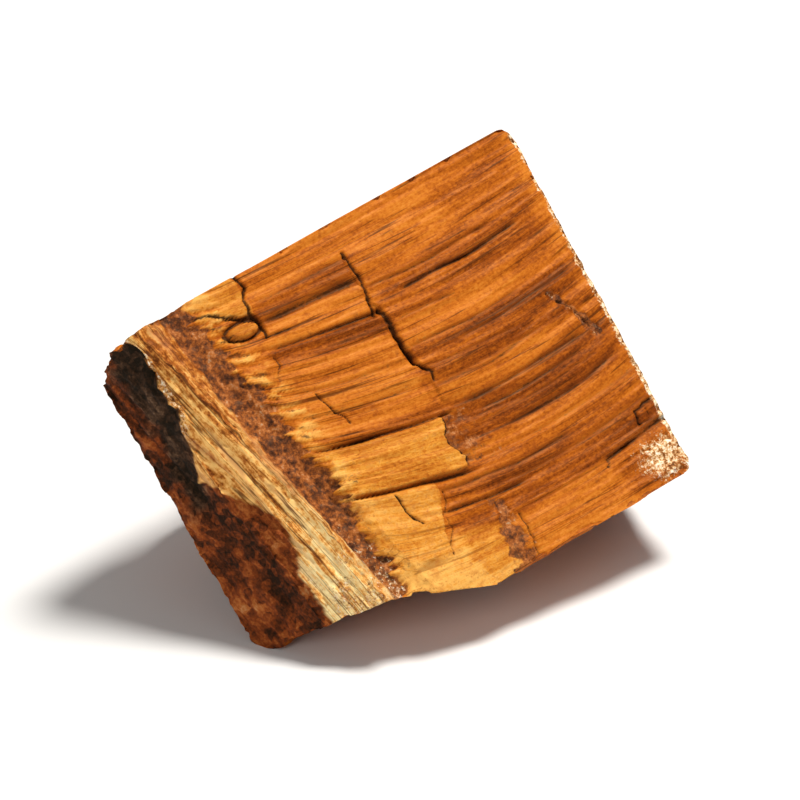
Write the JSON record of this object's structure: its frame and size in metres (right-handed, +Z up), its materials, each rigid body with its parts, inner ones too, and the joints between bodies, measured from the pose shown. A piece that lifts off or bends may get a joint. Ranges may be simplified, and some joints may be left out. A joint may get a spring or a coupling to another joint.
{
  "type": "rough tiger's eye stone",
  "caption": "Lump of raw fibrous tiger's eye split out of its vein, lying on a flat break with its broad golden-brown face sloping up.",
  "frame": {"origin": "on the resting plane, under the middle of the stone's box", "axes": "+Z up as the stone lies; +X to the right along its longest side; the broad split face looks towards -Y and up"},
  "size_m": [0.0546, 0.0468, 0.0349],
  "materials": {
    "fibrous_tigers_eye": "satin"
  },
  "bodies": {
    "root": {"rough_tigers_eye": "fibrous_tigers_eye"}
  },
  "joints": []
}
